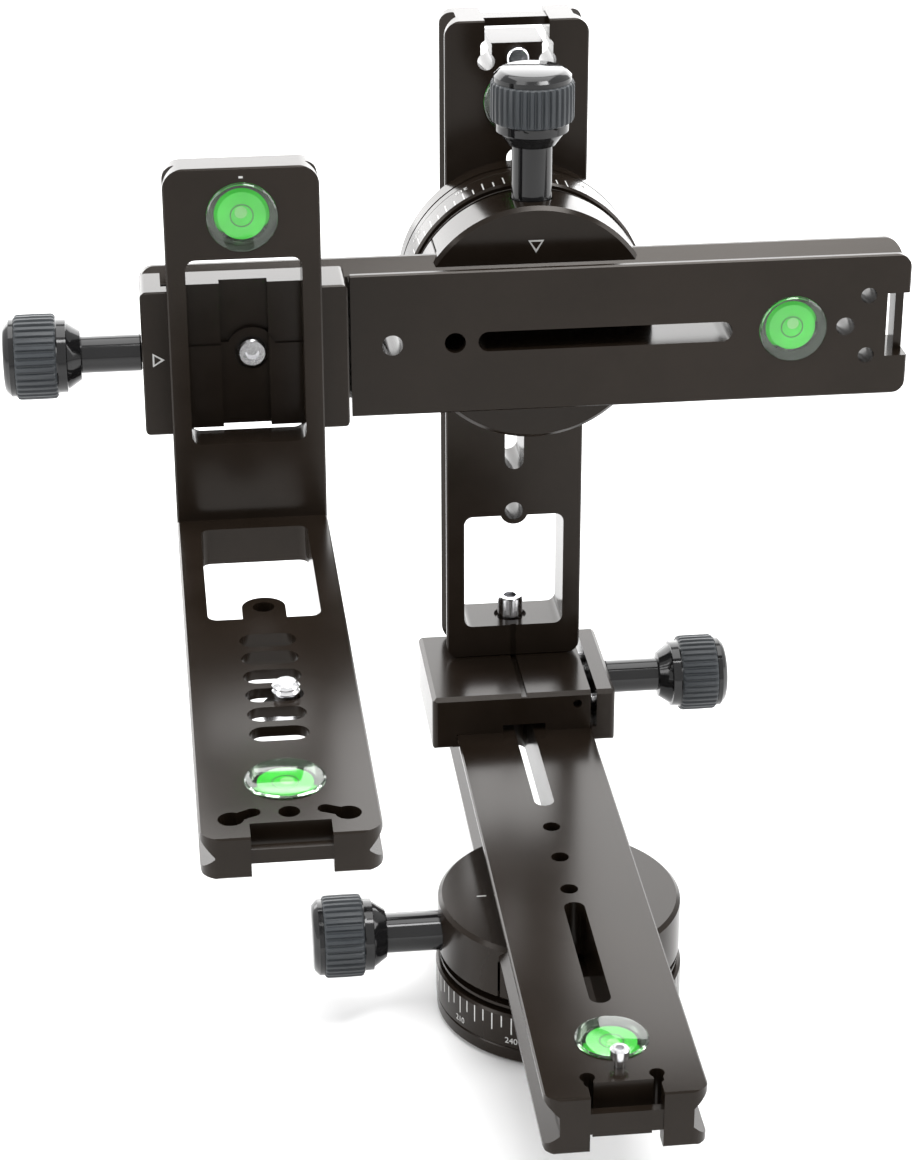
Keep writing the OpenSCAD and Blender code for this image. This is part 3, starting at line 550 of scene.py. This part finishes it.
# %% Model the camera screw
def camera_screw(place, body):
    radius, root, pitch = 3.175, 2.72, 1.27
    tip, thread_low, web, head_r, head_low = 3.3, 0.2, -2.55, 5.6, -5.75
    steps = 48
    bm = bmesh.new()
    profile = [(2.6, head_low), (head_r - 0.3, head_low), (head_r, head_low + 0.3), (head_r, web - 0.3),
               (head_r - 0.3, web), (2.6, web), (2.6, thread_low), (root, thread_low + 0.05)]
    z = thread_low + 0.1
    while z + pitch < tip:
        profile += [(radius - 0.02, z + pitch * 0.42), (radius - 0.02, z + pitch * 0.58), (root, z + pitch)]
        z += pitch
    profile += [(root, tip - 0.4), (root - 0.5, tip), (0, tip)]
    lathe(bm, profile, steps)
    rim = [e for e in bm.edges if len(e.link_faces) == 1]
    side = 2.8 * math.cos(math.radians(30))
    hexagon = []
    for i in range(steps):
        angle = 2 * math.pi * i / steps
        within = (angle + math.radians(30)) % math.radians(60) - math.radians(30)
        reach = side / math.cos(within)
        x, y = reach * math.cos(angle), reach * math.sin(angle)
        hexagon.append(bm.verts.new((x * MM, y * MM, (head_low + 0.2) * MM)))
    mouth = [bm.edges.new((a, b)) for a, b in zip(hexagon, hexagon[1:] + hexagon[:1])]
    bmesh.ops.bridge_loops(bm, edges=rim + mouth)
    raised = bmesh.ops.extrude_edge_only(bm, edges=mouth)["geom"]
    top = [g for g in raised if isinstance(g, bmesh.types.BMVert)]
    bmesh.ops.translate(bm, vec=(0, 0, 1.8 * MM), verts=top)
    bmesh.ops.contextual_create(bm, geom=[g for g in raised if isinstance(g, bmesh.types.BMEdge)])
    piece = finish_piece(bm, "camera_screw_turned", body, stainless, place)
    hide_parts("camera_screw")


camera_screw(shift(-72.7, -66.5, 130.3), "camera_fastener")
print("camera screw cut")

# %% [markdown]
# ## Return springs
# Inside each clamp two coil springs push the jaw open. The CAD holds their
# place with plain sleeves. Here each becomes a real coil: a circle carried
# along a helix by the spin operator's sideways step.

# %% Wind the springs
def coil(bm, start, end, y):
    """One coil spring along X from start to end, round the guide pin at y."""
    wire = 0.32
    radius = 2.1
    turns = 5
    length = (end - start) - 2 * wire
    section = bmesh.ops.create_circle(bm, segments=8, radius=wire * MM, cap_ends=True)["verts"]
    bmesh.ops.rotate(bm, verts=section, cent=(0, 0, 0), matrix=Matrix.Rotation(math.radians(90), 3, "Y"))
    bmesh.ops.rotate(bm, verts=section, cent=(0, 0, 0), matrix=Matrix.Rotation(math.radians(90), 3, "Z"))
    place = shift(start + wire, y, SCREW_Z + radius)
    bmesh.ops.transform(bm, matrix=place, verts=section)
    face = [f for f in section[0].link_faces]
    steps = turns * 20
    bmesh.ops.spin(bm, geom=face, cent=Vector((start, y, SCREW_Z)) * MM, axis=(1, 0, 0),
                   dvec=Vector((length / steps, 0, 0)) * MM, angle=turns * 2 * math.pi, steps=steps)


def springs(name, place, inner, body, cad_node):
    bm = bmesh.new()
    for y in (-13, 13):
        coil(bm, -inner + 0.02, -11, y)
    piece = finish_piece(bm, name, body, spring_wire, place)
    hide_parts(cad_node)


springs("pan_spring_coils", AT_PAN, 19.3, "pan_clamp_jaw", "pan_jaw_springs")
springs("post_spring_coils", AT_POST, 20.45, "post_clamp_jaw", "post_jaw_springs")
springs("tilt_spring_coils", AT_TILT, 19.3, "tilt_clamp_jaw", "tilt_jaw_springs")
springs("end_spring_coils", AT_END, 20.45, "end_clamp_jaw", "end_jaw_springs")
print("springs wound")

# %% [markdown]
# ## The room
# The photograph is a product shot: the object on white, lit by a wide soft
# light above and pale walls around, so every top face shows a soft grey sheen
# and every front stays deep black. The floor is pale by its own colour, and
# the world is white to the camera and in reflections, while the lamps light
# the object at a plain level.

# %% Floor and world
def floor():
    bm = bmesh.new()
    bmesh.ops.create_grid(bm, x_segments=2, y_segments=2, size=3.0)
    mesh = bpy.data.meshes.new("floor")
    bm.to_mesh(mesh)
    bm.free()
    obj = bpy.data.objects.new("floor", mesh)
    bpy.context.collection.objects.link(obj)
    obj.location = (0, 0, -0.0002)
    material, tree, shader = new_material("pale_floor")
    shader.inputs["Base Color"].default_value = (0.96, 0.96, 0.96, 1)
    shader.inputs["Roughness"].default_value = 0.9
    shader.inputs["Specular IOR Level"].default_value = 0.0
    mesh.materials.append(material)


floor()
world = bpy.data.worlds.new("white_room")
bpy.context.scene.world = world
world.use_nodes = True
tree = world.node_tree
background = tree.nodes["Background"]
background.inputs["Color"].default_value = (1, 1, 1, 1)
path = tree.nodes.new("ShaderNodeLightPath")
seen = tree.nodes.new("ShaderNodeMath")
seen.operation = "MAXIMUM"
tree.links.new(path.outputs["Is Camera Ray"], seen.inputs[0])
tree.links.new(path.outputs["Is Transmission Ray"], seen.inputs[1])
seen_too = tree.nodes.new("ShaderNodeMath")
seen_too.operation = "MAXIMUM"
tree.links.new(seen.outputs[0], seen_too.inputs[0])
tree.links.new(path.outputs["Is Glossy Ray"], seen_too.inputs[1])
level_of = tree.nodes.new("ShaderNodeMapRange")
level_of.inputs["To Min"].default_value = 0.55
level_of.inputs["To Max"].default_value = 1.0
tree.links.new(seen_too.outputs[0], level_of.inputs["Value"])
tree.links.new(level_of.outputs["Result"], background.inputs["Strength"])
print("floor and world ready")

# %% Soft lamps
def soft_lamp(name, spot, aim, size, watts):
    data = bpy.data.lights.new(name, "AREA")
    data.shape = "RECTANGLE"
    data.size, data.size_y = size
    data.energy = watts
    lamp = bpy.data.objects.new(name, data)
    bpy.context.collection.objects.link(lamp)
    lamp.location = spot
    lamp.rotation_euler = (Vector(aim) - Vector(spot)).to_track_quat("-Z", "Y").to_euler()


middle = (0, 0, 0.1)
soft_lamp("overhead", (0.0, 0.25, 1.25), middle, (1.2, 0.9), 12)
soft_lamp("back_wall", (0.0, 1.5, 0.75), (0, 0, 0.35), (2.6, 1.5), 46)
soft_lamp("front_strip", (0.24, -0.32, 1.24), (0.05, 0.05, 0.18), (0.7, 0.2), 6.5)
soft_lamp("left_bank", (-1.2, -0.3, 0.6), middle, (0.5, 1.0), 7)
soft_lamp("right_bank", (1.2, -0.2, 0.6), middle, (0.5, 1.0), 7)

# %% [markdown]
# ## Camera
# The camera's place and lens were worked out from the straight edges of the
# rails in the photograph, before any modelling, so that the picture and the
# CAD share one frame.

# %% Set the camera
camera_data = bpy.data.cameras.new("photo_camera")
camera_data.sensor_width = 36
camera_data.lens = 91.33
camera_data.clip_start = 0.01
camera = bpy.data.objects.new("photo_camera", camera_data)
bpy.context.collection.objects.link(camera)
camera.location = (-0.10027, -0.65294, 0.43499)
PITCH, YAW, ROLL = 25.272, -6.449, -0.142
camera.rotation_euler = (turn(YAW, "Z") @ turn(90 - PITCH, "X") @ turn(ROLL, "Z")).to_euler()
bpy.context.scene.camera = camera
bpy.context.scene.view_settings.view_transform = "Standard"
print("camera set")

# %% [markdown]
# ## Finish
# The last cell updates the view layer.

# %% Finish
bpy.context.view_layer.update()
